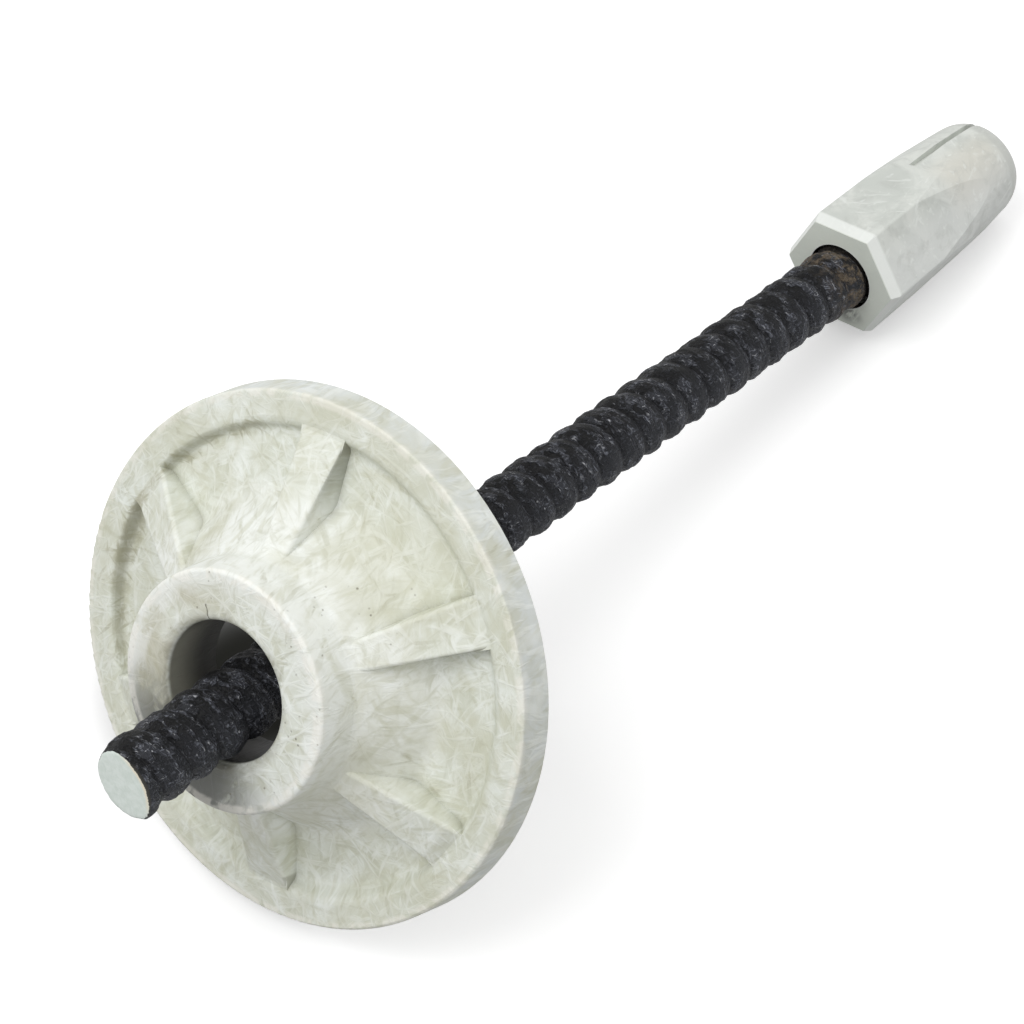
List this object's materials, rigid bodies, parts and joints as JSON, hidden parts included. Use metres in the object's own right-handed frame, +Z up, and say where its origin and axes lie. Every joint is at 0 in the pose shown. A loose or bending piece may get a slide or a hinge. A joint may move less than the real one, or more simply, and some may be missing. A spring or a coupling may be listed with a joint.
{
  "type": "fiberglass rock bolt",
  "caption": "Black rope-threaded glass-fibre rock bolt bar with a loose ribbed dome plate and a tapered hexagon nut, lying at rest on the plate's rim and the nut.",
  "frame": {"origin": "centre of the bounding box on the floor, with the bolt lying as it comes to rest on the plate's rim and the nut's tapered side", "axes": "+Z up; +X along the floor from the nut to the sawn end of the bar; +Y to the left seen from the nut, across the bar"},
  "size_m": [0.396, 0.1512, 0.1372],
  "materials": {
    "black_fibre_bar": "matte black pultruded glass fibre with a woven, fibrous skin, pale grey-green where it is sawn",
    "pale_fibre_moulding": "pressed glass-fibre moulding compound, pale grey-white with swirled strands and a little tan dirt",
    "pale_fibre_nut": "moulded glass-fibre compound, pale grey-green with strands, slightly smoother than the plate"
  },
  "bodies": {
    "bar": {"threaded_bar": "black_fibre_bar", "face_plate": "pale_fibre_moulding"},
    "nut": {"nut": "pale_fibre_nut"}
  },
  "joints": [
    {"name": "nut_turn", "type": "hinge", "parent": "bar", "child": "nut", "pos_m": [-0.11981, 0, 0.02358], "axis": [0.9956, 0, 0.0932], "continuous": true}
  ]
}
